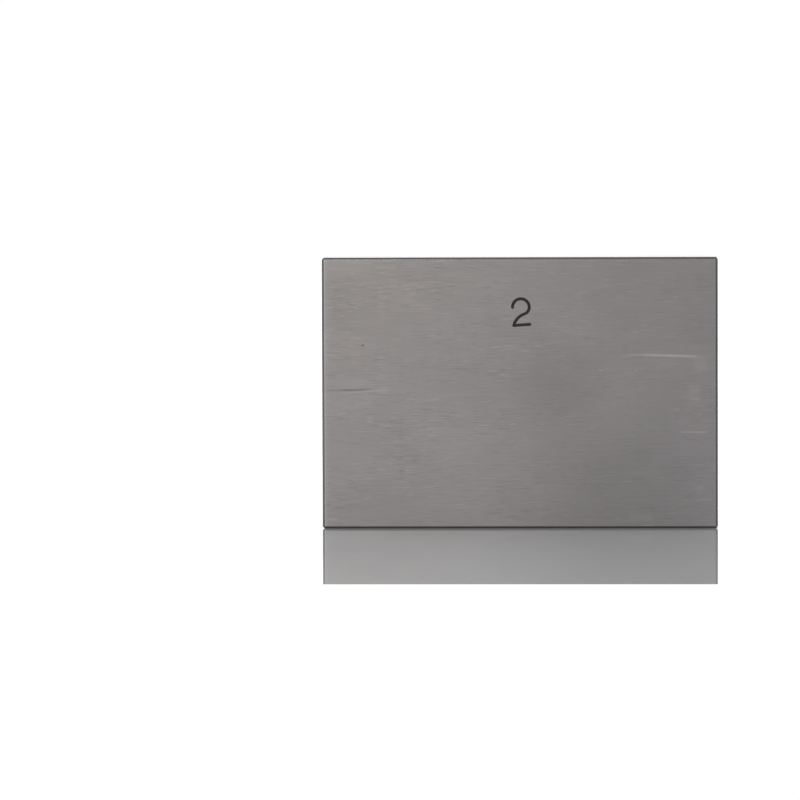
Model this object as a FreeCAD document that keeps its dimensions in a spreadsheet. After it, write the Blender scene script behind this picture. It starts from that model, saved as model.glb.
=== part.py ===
import FreeCAD, Part
import Sketcher
import os
import sys
from math import radians, sin, cos

# Gauge block, 2 inch, rectangular section.
#
# One hardened-steel block. It stands on one of its long narrow sides.
#   X  measuring length: the lapped measuring ends are at x = +/- 25.4 mm
#   Y  thickness of the section, with the engraved broad side at -Y
#   Z  width of the section, from the narrow side it stands on (z = 0) upwards
# The origin is the middle of the narrow side it stands on.

doc = FreeCAD.newDocument("GaugeBlock")

# ---------------------------------------------------------------- dimensions
# Lengths are in millimetres and angles in degrees.
sheet = doc.addObject("Spreadsheet::Sheet", "Dimensions")
dimensions = [
    # the block
    ("measuring_length", 50.8, "between the lapped ends: 2 inches"),
    ("section_width", 34.85, "nominal 35, tolerance 0 / -0.3"),
    ("section_thickness", 8.87, "nominal 9, tolerance -0.05 / -0.20"),
    ("edge_bevel", 0.25, "bevel on all twelve edges, at 45 degrees"),
    # the cutter that engraves the numeral: a ball nose
    ("cutter_radius", 0.33, "radius of the round nose"),
    ("cut_depth", 0.067, "depth below the broad side"),
    # the numeral's centre line, in X and Z on the broad side
    ("hook_x", -0.893, "where the stroke starts, at the upper left"),
    ("hook_z", 28.432, ""),
    ("hook_straight", 0.02, "short straight rise before the bowl"),
    ("bowl_radius", 1.067, "upper bowl"),
    ("bowl_span", 193.4, "angle turned by the upper bowl"),
    ("cheek_radius", 0.87, "tighter turn at the lower right of the bowl"),
    ("neck_straight", 0.19, "straight part of the slanting stroke"),
    ("neck_radius", 2.056, "hollow curve of the slanting stroke"),
    ("foot_x", -0.73, "corner where the slanting stroke meets the foot"),
    ("foot_z", 26.097, ""),
    ("foot_length", 2.04, "length of the foot"),
    ("foot_rise", 3.9, "slope of the foot, up to the right"),
]
for number, (alias, value, note) in enumerate(dimensions, start=1):
    sheet.set("A%d" % number, alias)
    sheet.set("B%d" % number, str(value))
    sheet.set("C%d" % number, note)
    sheet.setAlias("B%d" % number, alias)
doc.recompute()

size = {alias: float(value) for alias, value, note in dimensions}
D = "Dimensions."
# Height of the ball's centre line outside the broad side, measured from the
# middle plane of the block.
CUTTER_Y = "(%ssection_thickness / 2 + %scutter_radius - %scut_depth)" % (D, D, D)
cutter_y = size["section_thickness"] / 2 + size["cutter_radius"] - size["cut_depth"]


def origin_plane(body, role):
    for feature in body.Origin.OriginFeatures:
        if feature.Role == role:
            return feature
    raise RuntimeError("no plane " + role)


def new_sketch(body, name, role, offset=None):
    sketch = body.newObject("Sketcher::SketchObject", name)
    sketch.AttachmentSupport = [(origin_plane(body, role), "")]
    sketch.MapMode = "FlatFace"
    if offset is not None:
        sketch.AttachmentOffset = offset
    return sketch


def bind(target, name, expression):
    target.setExpression(name, expression)


def constrain(sketch, name, expression, *arguments):
    """Add a dimensional constraint, name it and drive it from the sheet."""
    index = sketch.addConstraint(Sketcher.Constraint(*arguments))
    sketch.renameConstraint(index, name)
    sketch.setExpression("Constraints." + name, expression)


def relate(sketch, *arguments):
    sketch.addConstraint(Sketcher.Constraint(*arguments))


vec = FreeCAD.Vector

# --------------------------------------------------------------------- block
body = doc.addObject("PartDesign::Body", "gauge_block")
body.Label = "gauge_block"
body.Placement = FreeCAD.Placement(vec(0, 0, 0), FreeCAD.Rotation())

# The bar's section as seen from above: measuring length by thickness, centred
# on the origin.
half_x = size["measuring_length"] / 2
half_y = size["section_thickness"] / 2
plan = new_sketch(body, "plan", "XY_Plane")
corners = [vec(-half_x, -half_y, 0), vec(half_x, -half_y, 0),
           vec(half_x, half_y, 0), vec(-half_x, half_y, 0)]
for i in range(4):
    plan.addGeometry(Part.LineSegment(corners[i], corners[(i + 1) % 4]), False)
for i in range(4):
    relate(plan, "Coincident", i, 2, (i + 1) % 4, 1)
relate(plan, "Horizontal", 0)
relate(plan, "Horizontal", 2)
relate(plan, "Vertical", 1)
relate(plan, "Vertical", 3)
relate(plan, "Symmetric", 0, 1, 1, 2, -1, 1)
constrain(plan, "measuring_length", D + "measuring_length",
          "DistanceX", 0, 1, 0, 2, size["measuring_length"])
constrain(plan, "section_thickness", D + "section_thickness",
          "DistanceY", 1, 1, 1, 2, size["section_thickness"])

bar = body.newObject("PartDesign::Pad", "bar")
bar.Profile = plan
bar.Length = size["section_width"]
bind(bar, "Length", D + "section_width")
doc.recompute()
bar_volume = bar.Shape.Volume

# Every edge is broken with the same small bevel.
bevels = body.newObject("PartDesign::Chamfer", "bevels")
bevels.Base = (bar, ["Edge%d" % (i + 1) for i in range(len(bar.Shape.Edges))])
bevels.ChamferType = "Equal distance"
bevels.Size = size["edge_bevel"]
bind(bevels, "Size", D + "edge_bevel")
doc.recompute()
bevelled_volume = bevels.Shape.Volume

# ------------------------------------------------------- the engraved numeral
# The numeral is the nominal length in inches. It is one stroke of a ball-nosed
# cutter for the bowl and the slanting part, and a second one for the foot.
# The centre line runs outside the broad side, so only the nose of the cutter
# reaches into the steel, and the groove is a shallow round channel with
# rounded ends.

# Starting values for the stroke, worked out along the chain of arcs.
x, z, heading = size["hook_x"], size["hook_z"], 90.0
chain = []


def run(length):
    global x, z
    start = (x, z)
    x += length * cos(radians(heading))
    z += length * sin(radians(heading))
    chain.append(Part.LineSegment(vec(start[0], start[1], 0), vec(x, z, 0)))


def turn(radius, angle, side):
    """side is -1 for a clockwise turn and +1 for an anticlockwise one."""
    global x, z, heading
    cx = x - side * radius * sin(radians(heading))
    cz = z + side * radius * cos(radians(heading))
    first = heading - side * 90.0
    heading += side * angle
    last = heading - side * 90.0
    x = cx + radius * cos(radians(last))
    z = cz + radius * sin(radians(last))
    low, high = (last, first) if side < 0 else (first, last)
    circle = Part.Circle(vec(cx, cz, 0), vec(0, 0, 1), radius)
    chain.append(Part.ArcOfCircle(circle, radians(low), radians(high)))


run(size["hook_straight"])
turn(size["bowl_radius"], size["bowl_span"], -1)
turn(size["cheek_radius"], 54.94, -1)
run(size["neck_straight"])
turn(size["neck_radius"], 54.83, +1)

# The sketch's X is the row's X and its Y is the row's Z; its normal is -Y.
stroke = new_sketch(body, "bowl_and_neck_line", "XZ_Plane",
                    FreeCAD.Placement(vec(0, 0, cutter_y), FreeCAD.Rotation()))
bind(stroke, "AttachmentOffset.Base.z", CUTTER_Y)
for item in chain:
    stroke.addGeometry(item, False)
HOOK, BOWL, CHEEK, NECK, SWEEP = 0, 1, 2, 3, 4
START, END = 1, 2
relate(stroke, "Vertical", HOOK)
# Arcs run anticlockwise from START to END whichever way the cutter goes.
relate(stroke, "Tangent", HOOK, END, BOWL, END)
relate(stroke, "Tangent", BOWL, START, CHEEK, END)
relate(stroke, "Tangent", CHEEK, START, NECK, START)
relate(stroke, "Tangent", NECK, END, SWEEP, START)
constrain(stroke, "hook_straight", D + "hook_straight",
          "DistanceY", HOOK, START, HOOK, END, size["hook_straight"])
constrain(stroke, "bowl_radius", D + "bowl_radius",
          "Radius", BOWL, size["bowl_radius"])
constrain(stroke, "cheek_radius", D + "cheek_radius",
          "Radius", CHEEK, size["cheek_radius"])
constrain(stroke, "neck_radius", D + "neck_radius",
          "Radius", SWEEP, size["neck_radius"])
constrain(stroke, "bowl_span", D + "bowl_span * 1 deg",
          "Angle", BOWL, radians(size["bowl_span"]))
constrain(stroke, "neck_straight", D + "neck_straight",
          "Distance", NECK, size["neck_straight"])
constrain(stroke, "hook_x", "-1 * " + D + "hook_x",
          "DistanceX", HOOK, START, -1, 1, -size["hook_x"])
constrain(stroke, "hook_z", D + "hook_z",
          "DistanceY", -1, 1, HOOK, START, size["hook_z"])
constrain(stroke, "foot_x", "-1 * " + D + "foot_x",
          "DistanceX", SWEEP, END, -1, 1, -size["foot_x"])
constrain(stroke, "foot_z", D + "foot_z",
          "DistanceY", -1, 1, SWEEP, END, size["foot_z"])

# The cutter's round section where the stroke starts, where it runs straight up.
nose = new_sketch(body, "cutter_section", "XY_Plane",
                  FreeCAD.Placement(vec(size["hook_x"], -cutter_y, size["hook_z"]),
                                    FreeCAD.Rotation()))
bind(nose, "AttachmentOffset.Base.x", D + "hook_x")
bind(nose, "AttachmentOffset.Base.y", "-1 * " + CUTTER_Y)
bind(nose, "AttachmentOffset.Base.z", D + "hook_z")
nose.addGeometry(Part.Circle(vec(0, 0, 0), vec(0, 0, 1), size["cutter_radius"]), False)
relate(nose, "Coincident", 0, 3, -1, 1)
constrain(nose, "cutter_radius", D + "cutter_radius",
          "Radius", 0, size["cutter_radius"])
doc.recompute()

groove = body.newObject("PartDesign::SubtractivePipe", "bowl_and_neck_groove")
groove.Profile = nose
groove.Spine = (stroke, ["Edge%d" % (i + 1) for i in range(len(stroke.Shape.Edges))])
groove.Mode = "Standard"
groove.Transition = "Transformed"
doc.recompute()
groove_volume = groove.Shape.Volume

# The foot: a straight cut from the corner, rising a little to the right.
foot_section = new_sketch(
    body, "foot_section", "YZ_Plane",
    FreeCAD.Placement(vec(-cutter_y, size["foot_z"], size["foot_x"]),
                      FreeCAD.Rotation(vec(1, 0, 0), -size["foot_rise"])))
bind(foot_section, "AttachmentOffset.Base.x", "-1 * " + CUTTER_Y)
bind(foot_section, "AttachmentOffset.Base.y", D + "foot_z")
bind(foot_section, "AttachmentOffset.Base.z", D + "foot_x")
foot_section.addGeometry(Part.Circle(vec(0, 0, 0), vec(0, 0, 1), size["cutter_radius"]), False)
relate(foot_section, "Coincident", 0, 3, -1, 1)
constrain(foot_section, "cutter_radius", D + "cutter_radius",
          "Radius", 0, size["cutter_radius"])
doc.recompute()

foot = body.newObject("PartDesign::Pocket", "foot_groove")
foot.Profile = foot_section
foot.Length = size["foot_length"]
foot.Reversed = True
bind(foot, "Length", D + "foot_length")
doc.recompute()
foot_volume = foot.Shape.Volume

# The round nose leaves a rounded end wherever a stroke starts or stops.
ends = []
for name, at_x, at_z in [
        ("hook_end", D + "hook_x", D + "hook_z"),
        ("corner_end", D + "foot_x", D + "foot_z"),
        ("foot_end",
         "%sfoot_x + %sfoot_length * cos(%sfoot_rise * 1 deg)" % (D, D, D),
         "%sfoot_z + %sfoot_length * sin(%sfoot_rise * 1 deg)" % (D, D, D))]:
    ball = body.newObject("PartDesign::SubtractiveSphere", name)
    ball.AttachmentSupport = [(origin_plane(body, "XY_Plane"), "")]
    ball.MapMode = "FlatFace"
    ball.Radius = size["cutter_radius"]
    bind(ball, "Radius", D + "cutter_radius")
    bind(ball, "AttachmentOffset.Base.x", at_x)
    bind(ball, "AttachmentOffset.Base.y", "-1 * " + CUTTER_Y)
    bind(ball, "AttachmentOffset.Base.z", at_z)
    doc.recompute()
    ends.append((name, ball.Shape.Volume))

body.Tip = doc.getObject("foot_end")
doc.recompute()

# -------------------------------------------------------------------- checks
faults = []
for item in doc.Objects:
    if "Invalid" in item.State or "Error" in item.State:
        faults.append("%s: %s" % (item.Name, item.State))

volumes = [("bar", bar_volume), ("bevels", bevelled_volume),
           ("bowl_and_neck_groove", groove_volume), ("foot_groove", foot_volume)] + ends
for (before, larger), (after, smaller) in zip(volumes, volumes[1:]):
    if not smaller < larger - 1e-7:
        faults.append("%s removed nothing from %s" % (after, before))
print("volumes, mm3:", ", ".join("%s %.5f" % pair for pair in volumes))

shape = body.Shape
if shape.isNull() or not shape.isValid() or len(shape.Solids) != 1:
    faults.append("gauge_block: the shape is not one valid solid")

# The exact box: the quick one is loose around the groove's curved faces.
box = shape.optimalBoundingBox(False, False)
for got, wanted, what in [
        (box.XLength, size["measuring_length"], "measuring length"),
        (box.YLength, size["section_thickness"], "thickness"),
        (box.ZLength, size["section_width"], "width"),
        (box.ZMin, 0.0, "lowest point"),
        (box.XMax, half_x, "measuring end"),
        (box.YMax, half_y, "back side")]:
    if abs(got - wanted) > 1e-4:
        faults.append("%s is %.4f, not %.4f" % (what, got, wanted))
print("box, mm: %.4f x %.4f x %.4f, volume %.4f mm3, %d faces, %d edges"
      % (box.XLength, box.YLength, box.ZLength, shape.Volume,
         len(shape.Faces), len(shape.Edges)))

if faults:
    for fault in faults:
        print("FAULT", fault)
    sys.exit(1)

# -------------------------------------------------------------------- export
os.makedirs("parts", exist_ok=True)
shape.exportStep("parts/gauge_block.step")
print("wrote parts/gauge_block.step")
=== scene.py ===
# A 2 inch rectangular gauge block: the look of every surface, plain studio and camera.
# Everything is in metres, in the row frame: +X measuring length, +Y thickness
# (the engraved broad side is at -Y), +Z up.
from math import radians, sin, cos, pi, sqrt, acos, exp

import bmesh
import bpy
from mathutils import Matrix, Vector


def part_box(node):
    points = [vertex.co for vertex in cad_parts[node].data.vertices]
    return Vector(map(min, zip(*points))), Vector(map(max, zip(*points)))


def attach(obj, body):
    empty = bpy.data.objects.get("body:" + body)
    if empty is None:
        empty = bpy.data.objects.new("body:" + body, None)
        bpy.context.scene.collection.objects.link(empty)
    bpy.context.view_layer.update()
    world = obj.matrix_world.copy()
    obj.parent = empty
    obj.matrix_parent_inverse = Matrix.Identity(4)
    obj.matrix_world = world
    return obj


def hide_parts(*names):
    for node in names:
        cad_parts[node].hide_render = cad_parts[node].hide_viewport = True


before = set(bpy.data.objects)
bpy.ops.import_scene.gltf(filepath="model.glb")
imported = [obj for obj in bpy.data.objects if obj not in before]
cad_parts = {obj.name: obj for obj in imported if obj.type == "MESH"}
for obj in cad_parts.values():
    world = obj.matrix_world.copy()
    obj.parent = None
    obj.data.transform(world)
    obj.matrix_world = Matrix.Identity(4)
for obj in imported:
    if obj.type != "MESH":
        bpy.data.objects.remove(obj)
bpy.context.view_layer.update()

MM = 0.001

# ------------------------------------------------------------------ dimensions
LO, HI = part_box("gauge_block")
HX = (HI.x - LO.x) / 2          # half the measuring length
HY = (HI.y - LO.y) / 2          # half the thickness
HZ = HI.z - LO.z                # the section's width, which is the height here
BEVEL = 0.25 * MM               # the bevel that the CAD block has
SOFT = 0.035 * MM               # how much the bevel's own edges are rounded

CUT_R, CUT_D = 0.33, 0.067       # ball nose and depth of the numeral, mm
HOOK = (-0.893, 28.432)          # where the numeral's stroke starts, X and Z in mm
FOOT = (-0.730, 26.097)        # corner of the numeral
FOOT_LEN, FOOT_RISE = 2.04, 3.9


# ------------------------------------------------------------------- the mesh
def numeral_line():
    """Centre line of the bowl and the slanting stroke: a chain of tangent arcs."""
    x, z, a = HOOK[0], HOOK[1], 90.0
    points = [(x, z)]

    def go(length):
        nonlocal x, z
        x += length * cos(radians(a))
        z += length * sin(radians(a))
        points.append((x, z))

    def turn(radius, angle, side):
        nonlocal x, z, a
        cx = x - side * radius * sin(radians(a))
        cz = z + side * radius * cos(radians(a))
        steps = max(6, int(abs(angle) / 3.0))
        for i in range(1, steps + 1):
            t = a + side * angle * i / steps
            points.append((cx + side * radius * sin(radians(t)),
                           cz - side * radius * cos(radians(t))))
        a += side * angle
        x, z = points[-1]

    go(0.02)
    turn(1.067, 193.4, -1)
    turn(0.87, 54.94, -1)
    go(0.19)
    turn(2.056, 54.83, +1)
    # The last point stops just short of the corner: the foot's own round end is there.
    back = Vector(points[-2]) - Vector(FOOT)
    points[-1] = tuple(Vector(FOOT) + back.normalized() * 0.04)
    return points


def capsule(name, points, radius, y, around=40, cap=9):
    """A closed round rod with ball ends along a line in the plane y. mm in, metres out."""
    bm = bmesh.new()
    n = len(points)
    tangents = []
    for i in range(n):
        a = Vector(points[max(i - 1, 0)])
        b = Vector(points[min(i + 1, n - 1)])
        tangents.append((b - a).normalized())
    stations = []
    t0, t1 = tangents[0], tangents[-1]
    for k in range(1, cap):                       # ball at the start
        q = pi / 2 * k / cap
        stations.append((Vector(points[0]) - t0 * radius * cos(q), t0, radius * sin(q)))
    for p, t in zip(points, tangents):
        stations.append((Vector(p), t, radius))
    for k in range(cap - 1, 0, -1):               # ball at the end
        q = pi / 2 * k / cap
        stations.append((Vector(points[-1]) + t1 * radius * cos(q), t1, radius * sin(q)))
    rings = []
    for p, t, r in stations:
        side = Vector((t.y, -t.x))
        ring = []
        for j in range(around):
            q = 2 * pi * (j + 0.5) / around
            o = side * r * cos(q)
            ring.append(bm.verts.new(((p.x + o.x) * MM, (y + r * sin(q)) * MM, (p.y + o.y) * MM)))
        rings.append(ring)
    for a, b in zip(rings, rings[1:]):
        for j in range(around):
            k = (j + 1) % around
            bm.faces.new((a[j], a[k], b[k], b[j]))
    first = bm.verts.new(((points[0][0] - t0.x * radius) * MM, y * MM,
                          (points[0][1] - t0.y * radius) * MM))
    last = bm.verts.new(((points[-1][0] + t1.x * radius) * MM, y * MM,
                         (points[-1][1] + t1.y * radius) * MM))
    for j in range(around):
        k = (j + 1) % around
        bm.faces.new((first, rings[0][k], rings[0][j]))
        bm.faces.new((last, rings[-1][j], rings[-1][k]))
    bmesh.ops.recalc_face_normals(bm, faces=bm.faces)
    mesh = bpy.data.meshes.new(name)
    bm.to_mesh(mesh)
    bm.free()
    return bpy.data.objects.new(name, mesh)


def block_mesh():
    """The bevelled bar, with every bevel's own edges a little rounded."""
    bm = bmesh.new()
    bmesh.ops.create_cube(bm, size=1.0)
    bmesh.ops.scale(bm, verts=bm.verts, vec=(2 * HX, 2 * HY, HZ))
    bmesh.ops.translate(bm, verts=bm.verts, vec=((LO.x + HI.x) / 2, (LO.y + HI.y) / 2, (LO.z + HI.z) / 2))
    bmesh.ops.bevel(bm, geom=list(bm.edges), offset=BEVEL, offset_type="OFFSET",
                    segments=1, profile=0.5, affect="EDGES", clamp_overlap=True)
    bmesh.ops.bevel(bm, geom=list(bm.edges), offset=SOFT, offset_type="OFFSET",
                    segments=2, profile=0.5, affect="EDGES", clamp_overlap=True)
    bmesh.ops.recalc_face_normals(bm, faces=bm.faces)
    mesh = bpy.data.meshes.new("steel_block")
    bm.to_mesh(mesh)
    bm.free()
    return mesh


block = bpy.data.objects.new("steel_block", block_mesh())
bpy.context.scene.collection.objects.link(block)

cut_y = (LO.y / MM) - (CUT_R - CUT_D)
a = radians(FOOT_RISE)
foot_end = (FOOT[0] + FOOT_LEN * cos(a), FOOT[1] + FOOT_LEN * sin(a))
foot_points = [(FOOT[0] + (foot_end[0] - FOOT[0]) * i / 12,
                FOOT[1] + (foot_end[1] - FOOT[1]) * i / 12) for i in range(13)]
for name, points in (("cut_bowl", numeral_line()), ("cut_foot", foot_points)):
    cutter = capsule(name, points, CUT_R, cut_y)
    bpy.context.scene.collection.objects.link(cutter)
    m = block.modifiers.new(name, "BOOLEAN")
    m.operation = "DIFFERENCE"
    m.solver = "EXACT"
    m.object = cutter
    dg = bpy.context.evaluated_depsgraph_get()
    cut = bpy.data.meshes.new_from_object(block.evaluated_get(dg))
    block.modifiers.clear()
    block.data = cut
    bpy.data.objects.remove(cutter)

# Each face's surface: 0 broad side, 1 narrow side, 2 measuring end, 3 bevel, 4 numeral.
mesh = block.data
mesh.name = "steel_block"
BROAD, NARROW, END, EDGE, CUT = range(5)
main_normal = {}
for p in mesh.polygons:
    n, c = p.normal, p.center
    flat = None
    if n.y < -0.9999 and c.y < LO.y + 1e-7:
        flat, kind = Vector((0, -1, 0)), BROAD
    elif n.y > 0.9999:
        flat, kind = Vector((0, 1, 0)), BROAD
    elif n.x < -0.9999:
        flat, kind = Vector((-1, 0, 0)), END
    elif n.x > 0.9999:
        flat, kind = Vector((1, 0, 0)), END
    elif n.z < -0.9999:
        flat, kind = Vector((0, 0, -1)), NARROW
    elif n.z > 0.9999:
        flat, kind = Vector((0, 0, 1)), NARROW
    elif (abs(c.x) < 3 * MM and 24 * MM < c.z < 31 * MM and c.y < LO.y + 0.1 * MM):
        kind = CUT
    else:
        kind = EDGE
        big = sorted((abs(n.x), abs(n.y), abs(n.z)))
        if big[0] < 1e-3 and abs(big[1] - big[2]) < 1e-3:
            flat = Vector((round(n.x * 2) / 2, round(n.y * 2) / 2, round(n.z * 2) / 2)).normalized()
    p.material_index = kind
    if flat is not None:
        main_normal[p.index] = flat

# Shading normals: each flat face keeps its own, and the narrow rounded strips
# between them turn from one to the next.
by_vertex = {}
for p in mesh.polygons:
    if p.index in main_normal:
        for v in p.vertices:
            by_vertex.setdefault(v, []).append(main_normal[p.index])
smooth = {}
for p in mesh.polygons:
    for v in p.vertices:
        smooth.setdefault((v, p.material_index == CUT), Vector((0, 0, 0)))
        smooth[(v, p.material_index == CUT)] += p.normal * p.area
normals = [Vector((0, 0, 1))] * len(mesh.loops)
for p in mesh.polygons:
    for li in p.loop_indices:
        v = mesh.loops[li].vertex_index
        if p.index in main_normal:
            normals[li] = main_normal[p.index]
        elif p.material_index == CUT:
            normals[li] = smooth[(v, True)].normalized()
        elif len(by_vertex.get(v, ())) == 1:
            normals[li] = by_vertex[v][0]
        else:
            normals[li] = smooth[(v, False)].normalized()
for p in mesh.polygons:
    p.use_smooth = True
mesh.normals_split_custom_set([tuple(n) for n in normals])

# A flat map of all six sides, at one scale, for the surface's own pattern direction
# and for baking. Units here are mm on a square sheet.
GAP = 0.7
WX, WY, WZ = 2 * HX / MM, 2 * HY / MM, HZ / MM
SHEET = WX + 3 * WY + 5 * GAP
uv = mesh.uv_layers.new(name="OFBake")
mesh.uv_layers.active = uv


def sheet_place(n, x, y, z):
    """x from the left end, y from the engraved side, z from the bottom, all in mm."""
    if abs(n.y) > 0.55:
        if n.y < 0:
            return GAP + x, GAP + z
        return GAP + (WX - x), GAP * 2 + WZ + z
    if abs(n.x) > 0.65:
        u0 = GAP * 2 + WX
        if n.x < 0:
            return u0 + (WY - y), GAP + z
        return u0 + y, GAP * 2 + WZ + z
    u0 = GAP * 3 + WX + WY
    if n.z > 0:
        return u0 + (WY - y), GAP + x
    return u0 + GAP + WY + y, GAP + x


for p in mesh.polygons:
    for li in p.loop_indices:
        co = mesh.vertices[mesh.loops[li].vertex_index].co
        u, v = sheet_place(p.normal, (co.x - LO.x) / MM, (co.y - LO.y) / MM, (co.z - LO.z) / MM)
        uv.data[li].uv = (u / SHEET, v / SHEET)


# -------------------------------------------------------------- node helpers
class Graph:
    """Short calls for building a material's nodes."""

    def __init__(self, tree):
        self.tree = tree
        tree.nodes.clear()

    def new(self, kind, **props):
        node = self.tree.nodes.new(kind)
        for k, v in props.items():
            setattr(node, k, v)
        return node

    def put(self, socket, value):
        if isinstance(value, bpy.types.NodeSocket):
            self.tree.links.new(value, socket)
        elif value is not None:
            socket.default_value = value

    def math(self, op, a, b=None, c=None, clamp=False):
        node = self.new("ShaderNodeMath", operation=op, use_clamp=clamp)
        for s, v in zip(node.inputs, (a, b, c)):
            self.put(s, v)
        return node.outputs[0]

    def add(self, *terms):
        out = terms[0]
        for t in terms[1:]:
            out = self.math("ADD", out, t)
        return out

    def mul(self, *terms):
        out = terms[0]
        for t in terms[1:]:
            out = self.math("MULTIPLY", out, t)
        return out

    def step(self, value, low, high):
        """Smooth step from 0 at low to 1 at high; low may be the larger one."""
        node = self.new("ShaderNodeMapRange", interpolation_type="SMOOTHSTEP", clamp=True)
        self.put(node.inputs["Value"], value)
        if low < high:
            ends = (low, high, 0.0, 1.0)
        else:
            ends = (high, low, 1.0, 0.0)
        for name, v in zip(("From Min", "From Max", "To Min", "To Max"), ends):
            node.inputs[name].default_value = v
        return node.outputs["Result"]

    def join(self, x, y, z):
        node = self.new("ShaderNodeCombineXYZ")
        for s, v in zip(node.inputs, (x, y, z)):
            self.put(s, v)
        return node.outputs[0]

    def noise(self, vector, scale=1.0, detail=2.0, rough=0.5, distort=0.0):
        node = self.new("ShaderNodeTexNoise", noise_dimensions="3D")
        self.put(node.inputs["Vector"], vector)
        node.inputs["Scale"].default_value = scale
        node.inputs["Detail"].default_value = detail
        node.inputs["Roughness"].default_value = rough
        node.inputs["Distortion"].default_value = distort
        return node.outputs["Fac"]

    def tint(self, colour, factor):
        """colour (r, g, b) times a factor."""
        node = self.new("ShaderNodeMix", data_type="RGBA", blend_type="MULTIPLY")
        node.inputs["Factor"].default_value = 1.0
        self.put(node.inputs["A"], (*colour, 1.0))
        grey = self.join(factor, factor, factor)
        self.tree.links.new(grey, node.inputs["B"])
        return node.outputs["Result"]

    def mix(self, fac, a, b):
        node = self.new("ShaderNodeMix", data_type="RGBA", blend_type="MIX")
        self.put(node.inputs["Factor"], fac)
        self.put(node.inputs["A"], a)
        self.put(node.inputs["B"], b)
        return node.outputs["Result"]


def material(name):
    mat = bpy.data.materials.new(name)
    mat.use_nodes = True
    g = Graph(mat.node_tree)
    out = g.new("ShaderNodeOutputMaterial")
    shader = g.new("ShaderNodeBsdfPrincipled")
    g.tree.links.new(shader.outputs[0], out.inputs["Surface"])
    where = g.new("ShaderNodeTexCoord").outputs["Object"]
    parts = g.new("ShaderNodeSeparateXYZ")
    g.tree.links.new(where, parts.inputs[0])
    x, y, z = (g.mul(s, 1000.0) for s in parts.outputs)
    return mat, g, shader, x, y, z


def grain(g, along, across, third, length, width, seed, detail=2.0, rough=0.55):
    """Ground lines: noise that is stretched along the cut. Sizes in mm."""
    v = g.join(g.mul(along, 1.0 / length), g.add(g.mul(across, 1.0 / width), seed),
               g.add(third, seed * 1.7))
    return g.noise(v, 1.0, detail, rough)


def bump(g, shader, height, distance, strength=1.0):
    node = g.new("ShaderNodeBump")
    node.inputs["Strength"].default_value = strength
    node.inputs["Distance"].default_value = distance
    g.put(node.inputs["Height"], height)
    g.tree.links.new(node.outputs[0], shader.inputs["Normal"])


STEEL = (0.603, 0.566, 0.577)


def centred(g, value, amount):
    """A change of +/- amount/2 around zero from a 0..1 pattern."""
    return g.mul(g.math("SUBTRACT", value, 0.5), amount)


# ------------------------------------------------------------ broad sides
def near_edge(g, value, edge, reach):
    """1 on a face's edge, falling to 0 over about three times the reach, in mm."""
    away = g.math("ABSOLUTE", g.math("SUBTRACT", value, edge))
    return g.math("EXPONENT", g.mul(away, -1.0 / reach))


def dashes(g, along, across, third, length, width, slope, seed, low, high):
    """Separate short ground marks: 1 inside one, 0 between them."""
    v = grain(g, along, g.add(across, g.mul(along, -slope)), third, length, width, seed, 0.0)
    return g.step(v, low, high)


def mark(g, along, across, x0, z0, x1, z1, half, soft=0.35):
    """One scratch or rub from end to end, with soft sides and tapered ends. mm."""
    cx, cz, hx = (x0 + x1) / 2, (z0 + z1) / 2, abs(x1 - x0) / 2
    slope = (z1 - z0) / (x1 - x0)
    u = g.mul(g.math("SUBTRACT", along, cx), 1.0 / hx)
    v = g.math("SUBTRACT", across, g.add(cz, g.mul(g.math("SUBTRACT", along, cx), slope)))
    ends = g.step(g.math("ABSOLUTE", u), 1.0, 1.0 - soft)
    sides = g.step(g.math("ABSOLUTE", v), half, half * 0.15)
    return g.mul(ends, sides)


mat_broad, g, shader, x, y, z = material("ground_broad_side")
# The two broad sides differ: the pattern is read at another place behind.
side = g.mul(g.step(y, -1.0, 1.0), 37.0)
front = g.step(y, 0.5, -0.5)
# The lines are not all quite level: they wander by a degree or two.
level = g.add(z, g.mul(x, -0.006),
              centred(g, g.noise(g.join(g.mul(x, 0.06), g.mul(z, 0.10), side), 1.0, 1.0), 0.16))
fine = grain(g, x, level, side, 2.3, 0.095, 3.1, 1.0, 0.4)
mid = grain(g, x, level, side, 6.0, 0.17, 11.7, 1.0)
long_ = grain(g, x, level, side, 16.0, 0.5, 23.9, 2.0)
cloud = g.noise(g.join(g.mul(x, 0.13), g.mul(z, 0.22), side), 1.0, 3.0, 0.55)
dark = dashes(g, x, level, side, 1.6, 0.15, 0.010, 41.3, 0.34, 0.25)
dark2 = dashes(g, x, level, side, 2.6, 0.15, 0.028, 57.9, 0.32, 0.24)
light = dashes(g, x, level, side, 1.7, 0.15, 0.014, 73.1, 0.67, 0.76)
light2 = dashes(g, x, level, side, 3.2, 0.14, -0.008, 91.7, 0.69, 0.78)
# Dashes gather in some places and thin out in others.
crowd = g.step(g.noise(g.join(g.mul(x, 0.10), g.mul(z, 0.25), g.add(side, 8.0)), 1.0, 2.0, 0.5), 0.30, 0.66)
less = g.add(1.0, g.mul(g.step(x, -8.0, 12.0), g.mul(front, -0.35)))
dash = g.mul(g.add(0.35, crowd), less,
             g.add(g.mul(dark, -0.115), g.mul(dark2, -0.08), g.mul(light, 0.14), g.mul(light2, 0.11)))
# Painted highlight: bright lines just inside the bevels at the two ends, strongest at the left end, and a
# fainter one along the top.
FX = HX / MM - BEVEL / MM
painted_edge_highlight = g.add(g.mul(near_edge(g, x, -FX, 0.28), 0.19), g.mul(near_edge(g, x, -FX, 0.10), 0.42), g.mul(near_edge(g, x, FX, 0.12), 0.12),
            g.mul(near_edge(g, z, HZ / MM - BEVEL / MM, 0.26), 0.10))
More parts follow.
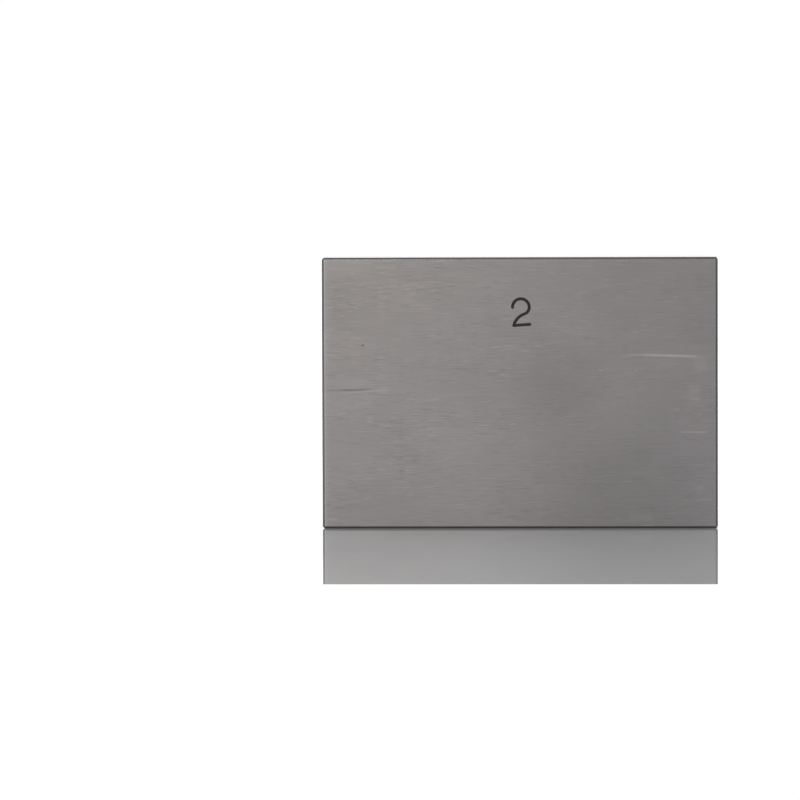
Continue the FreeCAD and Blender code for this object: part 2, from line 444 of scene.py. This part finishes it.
# Wear that is there to see on the numbered side.
worn = g.add(0.45, g.mul(g.noise(g.join(g.mul(x, 1.1), g.mul(z, 9.0), 4.4), 1.0, 3.0, 0.6), 1.1))
scratch = g.add(
    # the long scratch at the right, and the rubbed patches round its end
    g.mul(mark(g, x, z, 12.9, 22.36, 23.3, 22.10, 0.18, 0.25), 0.16),
    g.mul(mark(g, x, z, 15.4, 22.30, 22.7, 22.13, 0.27, 0.50), 0.13),
    g.mul(mark(g, x, z, 20.9, 22.02, 24.4, 21.98, 0.42, 0.60), 0.08),
    g.mul(mark(g, x, z, 12.6, 22.05, 14.6, 21.95, 0.12, 0.60), 0.10),
    g.mul(mark(g, x, z, 16.6, 21.2, 21.6, 21.3, 0.75, 0.85), 0.05),
    g.mul(mark(g, x, z, 21.8, 20.9, 24.4, 20.9, 1.5, 0.80), 0.06),
    g.mul(mark(g, x, z, 21.2, 17.2, 23.6, 17.2, 1.9, 0.80), 0.07),
    # the short one below it
    g.mul(mark(g, x, z, 20.3, 12.38, 24.3, 12.36, 0.19, 0.35), 0.20),
    # rubbed places low at the right, and a faint line beside the numeral
    g.mul(mark(g, x, z, 13.4, 1.55, 17.8, 1.25, 0.75, 0.60), 0.09),
    g.mul(mark(g, x, z, -4.2, 23.3, 0.6, 23.6, 0.11, 0.60), 0.13),
    # a dark line at the left with a lighter rub under it
    g.mul(mark(g, x, z, -25.1, 17.80, -18.2, 17.84, 0.14, 0.35), -0.16),
    g.mul(mark(g, x, z, -23.3, 17.84, -19.5, 17.82, 0.20, 0.60), -0.10),
    g.mul(mark(g, x, z, -23.9, 17.33, -16.2, 17.95, 0.17, 0.45), 0.13),
    g.mul(mark(g, x, z, -22.9, 18.9, -18.3, 18.9, 1.0, 0.80), 0.05),
    g.mul(mark(g, x, z, -25.15, 19.74, -23.4, 19.72, 0.10, 0.40), -0.14),
    g.mul(mark(g, x, z, -24.8, 15.6, -18.0, 16.2, 1.3, 0.60), 0.04))
speck = g.add(
    g.mul(mark(g, x, z, 10.05, 20.36, 10.65, 20.36, 0.17, 0.90), 0.22),
    g.mul(mark(g, x, z, 14.65, 20.32, 15.25, 20.36, 0.12, 0.80), 0.26),
    g.mul(mark(g, x, z, 14.75, 19.95, 15.25, 19.93, 0.13, 0.80), -0.13),
    g.mul(mark(g, x, z, 17.25, 20.68, 18.05, 20.82, 0.13, 0.85), 0.19),
    g.mul(mark(g, x, z, 11.75, 16.05, 12.50, 16.05, 0.15, 0.80), 0.14),
    g.mul(mark(g, x, z, 19.70, 15.28, 20.70, 15.24, 0.17, 0.80), 0.15),
    g.mul(mark(g, x, z, 19.55, 14.80, 20.80, 14.80, 0.14, 0.70), -0.13),
    g.mul(mark(g, x, z, 10.4, 18.18, 11.8, 18.22, 0.14, 0.60), -0.12),
    g.mul(mark(g, x, z, 14.2, 25.20, 15.9, 25.22, 0.13, 0.60), 0.11),
    g.mul(mark(g, x, z, -20.33, 23.58, -19.93, 23.60, 0.19, 0.80), -0.42),
    g.mul(mark(g, x, z, -19.95, 23.50, -19.3, 23.53, 0.10, 0.80), 0.12))
# Painted light and shade: broad patches make the lower middle a little brighter, and the middle right, the
# lower right and the upper left a little darker.
broad_pattern = g.add(g.mul(mark(g, x, z, -17.0, 7.0, 3.0, 7.0, 11.0, 0.95), 0.045),
             g.mul(mark(g, x, z, 0.0, 4.0, 27.0, 4.0, 13.0, 0.90), -0.085),
             g.mul(mark(g, x, z, -4.0, 18.5, 14.0, 18.5, 7.5, 0.90), -0.060),
             g.mul(mark(g, x, z, -31.0, 29.5, -15.0, 29.5, 6.0, 0.80), -0.040))
# The numbered side's scratches and specks, together with the painted light and shade patches.
wear_and_painted_shading = g.mul(front, g.add(g.mul(scratch, worn), speck, broad_pattern))
tone = g.add(1.0, centred(g, fine, 0.10), centred(g, mid, 0.09), centred(g, long_, 0.05),
             centred(g, cloud, 0.09), dash, painted_edge_highlight, wear_and_painted_shading)
g.tree.links.new(g.tint(STEEL, tone), shader.inputs["Base Color"])
rough = g.add(0.42, centred(g, mid, 0.08), centred(g, cloud, 0.05), g.mul(wear_and_painted_shading, 0.3))
g.tree.links.new(rough, shader.inputs["Roughness"])
bump(g, shader, g.add(g.mul(fine, 0.5), mid, g.mul(long_, 0.8), g.mul(dash, 1.5)), 1.2e-6)
shader.inputs["Metallic"].default_value = 1.0
shader.inputs["Anisotropic"].default_value = 0.65
shader.inputs["Anisotropic Rotation"].default_value = 0.25
tangent = g.new("ShaderNodeTangent", direction_type="UV_MAP", uv_map="OFBake")
g.tree.links.new(tangent.outputs[0], shader.inputs["Tangent"])

# ------------------------------------------------------------ narrow sides
mat_narrow, g, shader, x, y, z = material("ground_narrow_side")
third = g.mul(g.step(z, 5.0, 20.0), 41.0)
fine = grain(g, x, y, third, 1.6, 0.06, 5.3, 1.0)
mid = grain(g, x, y, third, 7.0, 0.15, 17.1, 2.0)
cloud = g.noise(g.join(g.mul(x, 0.14), g.mul(y, 0.3), third), 1.0, 2.0, 0.5)
tone = g.add(1.0, centred(g, fine, 0.10), centred(g, mid, 0.12), centred(g, cloud, 0.05))
g.tree.links.new(g.tint(STEEL, tone), shader.inputs["Base Color"])
g.tree.links.new(g.add(0.30, centred(g, mid, 0.08), centred(g, cloud, 0.05)), shader.inputs["Roughness"])
bump(g, shader, g.add(g.mul(fine, 0.5), mid), 0.8e-6)
shader.inputs["Metallic"].default_value = 1.0

# --------------------------------------------------------- measuring ends
mat_end, g, shader, x, y, z = material("lapped_end")
third = g.mul(g.step(x, -1.0, 1.0), 29.0)
lap = g.noise(g.join(g.mul(y, 9.0), g.mul(z, 9.0), third), 1.0, 3.0, 0.6)
broad_pattern = g.noise(g.join(g.mul(y, 0.35), g.mul(z, 0.22), g.add(third, 5.0)), 1.0, 2.0, 0.5)
tone = g.add(1.0, centred(g, lap, 0.03), centred(g, broad_pattern, 0.05))
g.tree.links.new(g.tint((0.62, 0.60, 0.595), tone), shader.inputs["Base Color"])
g.tree.links.new(g.add(0.07, centred(g, broad_pattern, 0.04), centred(g, lap, 0.015)), shader.inputs["Roughness"])
bump(g, shader, lap, 0.15e-6)
shader.inputs["Metallic"].default_value = 1.0

# ------------------------------------------------------------------ bevels
mat_edge, g, shader, x, y, z = material("bevel")
grit = g.noise(g.join(g.mul(x, 1.1), g.mul(y, 2.0), g.mul(z, 1.1)), 1.0, 2.0, 0.5)
# Painted shade: the lower bevels, where the block stands on the plate, are made darker.
painted_contact_shade = g.step(z, 0.9, 0.3)
tone = g.add(1.0, centred(g, grit, 0.12), g.mul(painted_contact_shade, -0.20))
# Painted shade: the bevels' steel is given about half the broad sides' brightness, so they stay dark.
g.tree.links.new(g.tint((0.300, 0.288, 0.286), tone), shader.inputs["Base Color"])
g.tree.links.new(g.add(0.26, centred(g, grit, 0.05)), shader.inputs["Roughness"])
bump(g, shader, grit, 1.0e-6)
shader.inputs["Metallic"].default_value = 1.0

# ----------------------------------------------------------------- numeral
mat_cut, g, shader, x, y, z = material("numeral")
soot = g.noise(g.join(g.mul(x, 5.5), g.mul(y, 5.5), g.mul(z, 5.5)), 1.0, 3.0, 0.6)
tone = g.add(1.0, centred(g, soot, 0.7))
g.tree.links.new(g.tint((0.046, 0.042, 0.040), tone), shader.inputs["Base Color"])
g.tree.links.new(g.add(0.58, centred(g, soot, 0.2)), shader.inputs["Roughness"])
bump(g, shader, soot, 6.0e-6)
shader.inputs["Metallic"].default_value = 0.0

for m in (mat_broad, mat_narrow, mat_end, mat_edge, mat_cut):
    mesh.materials.append(m)

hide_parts("gauge_block")
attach(block, "root")

# ------------------------------------------------------------------- stage
# A glossy white plate. Its front edge is a little way in front of the block.
PLATE_FRONT = -0.0819
bm = bmesh.new()
for px, py in ((-0.9, PLATE_FRONT), (0.9, PLATE_FRONT), (0.9, 1.1), (-0.9, 1.1)):
    bm.verts.new((px, py, 0.0))
bm.faces.new(bm.verts)
floor_mesh = bpy.data.meshes.new("floor")
bm.to_mesh(floor_mesh)
bm.free()
floor = bpy.data.objects.new("floor", floor_mesh)
bpy.context.scene.collection.objects.link(floor)
mat = bpy.data.materials.new("white_plate")
mat.use_nodes = True
shader = mat.node_tree.nodes["Principled BSDF"]
shader.inputs["Base Color"].default_value = (0.765, 0.78, 0.81, 1)
shader.inputs["Roughness"].default_value = 0.03
shader.inputs["IOR"].default_value = 1.5
floor_mesh.materials.append(mat)

# ------------------------------------------------------------------- world
world = bpy.data.worlds.new("studio")
bpy.context.scene.world = world
world.use_nodes = True
g = Graph(world.node_tree)
out = g.new("ShaderNodeOutputWorld")
seen = g.new("ShaderNodeBackground")
lit = g.new("ShaderNodeBackground")
pick = g.new("ShaderNodeMixShader")
path = g.new("ShaderNodeLightPath")
way = g.new("ShaderNodeSeparateXYZ")
g.tree.links.new(g.new("ShaderNodeTexCoord").outputs["Generated"], way.inputs[0])
wx, wy, wz = way.outputs
# How bright the studio is in each direction, as (red, green, blue).
STUDIO = dict(
    back=(1.5, 1.5, 1.5),         # the backdrop behind the block
    camera=(0.218, 0.220, 0.224),    # the room behind the camera
    left=(0.405, 0.405, 0.405),
    right=(0.199, 0.203, 0.211),
    top=(0.361, 0.370, 0.386),
    low=(0.288, 0.288, 0.288),       # below the horizon, past the plate
)


def share(value):
    return g.math("SUBTRACT", 1.0, value)


to_back = g.mul(g.step(wy, 0.12, 0.45), g.step(wz, 0.68, 0.38))
to_right = g.step(wx, -0.9, 0.9)
to_camera = g.step(wy, -0.1, -0.8)
to_top = g.step(wz, 0.3, 0.9)
to_low = g.step(wz, -0.02, -0.15)
rest = share(to_back)
shares = {"back": to_back, "low": g.mul(rest, to_low)}
rest = g.mul(rest, share(to_low))
shares["top"] = g.mul(rest, to_top)
rest = g.mul(rest, share(to_top))
shares["camera"] = g.mul(rest, to_camera)
rest = g.mul(rest, share(to_camera))
# The two sides are brighter towards the horizon.
rest = g.mul(rest, g.add(0.75, g.mul(g.step(wz, 0.14, 0.0), 0.55)))
shares["left"] = g.mul(rest, share(to_right))
shares["right"] = g.mul(rest, to_right)
total = None
for name, colour in STUDIO.items():
    amount = g.new("ShaderNodeRGB", name="studio_" + name)
    amount.outputs[0].default_value = (*colour, 1.0)
    scaled = g.new("ShaderNodeVectorMath", operation="SCALE")
    g.tree.links.new(amount.outputs[0], scaled.inputs[0])
    g.tree.links.new(shares[name], scaled.inputs["Scale"])
    if total is None:
        total = scaled.outputs[0]
    else:
        both = g.new("ShaderNodeVectorMath", operation="ADD")
        g.tree.links.new(total, both.inputs[0])
        g.tree.links.new(scaled.outputs[0], both.inputs[1])
        total = both.outputs[0]
g.tree.links.new(total, lit.inputs["Color"])
# Seen directly, the backdrop is white and the rest of the room a pale grey.
room = g.step(wy, 0.15, 0.60)
g.tree.links.new(g.mix(room, (0.56, 0.565, 0.575, 1.0), (1.0, 1.0, 1.0, 1.0)), seen.inputs["Color"])
seen.inputs["Strength"].default_value = 1.02
g.tree.links.new(path.outputs["Is Camera Ray"], pick.inputs["Fac"])
g.tree.links.new(lit.outputs[0], pick.inputs[1])
g.tree.links.new(seen.outputs[0], pick.inputs[2])
g.tree.links.new(pick.outputs[0], out.inputs["Surface"])


# ------------------------------------------------------------------- lights
def panel(name, at, aim, width, height, power, colour=(1, 1, 1)):
    light = bpy.data.lights.new(name, "AREA")
    light.shape = "RECTANGLE"
    light.size, light.size_y = width, height
    light.energy = power
    light.color = colour
    o = bpy.data.objects.new(name, light)
    bpy.context.scene.collection.objects.link(o)
    o.location = at
    o.rotation_mode = "QUATERNION"
    o.rotation_quaternion = (Vector(aim) - Vector(at)).to_track_quat("-Z", "Y")
    o.visible_camera = False
    return o


PANELS = [
    # name, where, what it faces, width, height, watts, colour
    ("near_top", (-0.060, -0.200, 0.200), (-0.010, 0, 0.030), 0.08, 0.08, 0.1455, (1.02, 1, 0.87)),
]
for name, at, aim, width, height, power, colour in PANELS:
    panel(name, at, aim, width, height, power, colour)

# ------------------------------------------------------------------- camera
cam_data = bpy.data.cameras.new("camera")
cam_data.lens = 253.5
cam_data.sensor_width = 36.0
cam_data.clip_start, cam_data.clip_end = 0.05, 10.0
cam = bpy.data.objects.new("camera", cam_data)
bpy.context.scene.collection.objects.link(cam)
cam.location = (0.0120, -0.7262, 0.060)
YAW, PITCH, ROLL = radians(2.1724), radians(-3.4423), radians(0.2161)
cam.rotation_mode = "QUATERNION"
turn_to = (Matrix.Rotation(YAW, 3, "Z") @ Matrix.Rotation(PITCH, 3, "X")
           @ Matrix.Rotation(ROLL, 3, "Y") @ Matrix.Rotation(radians(90), 3, "X"))
cam.rotation_quaternion = turn_to.to_quaternion()
bpy.context.scene.camera = cam

bpy.context.scene.view_settings.view_transform = "Standard"
bpy.context.scene.view_settings.look = "None"
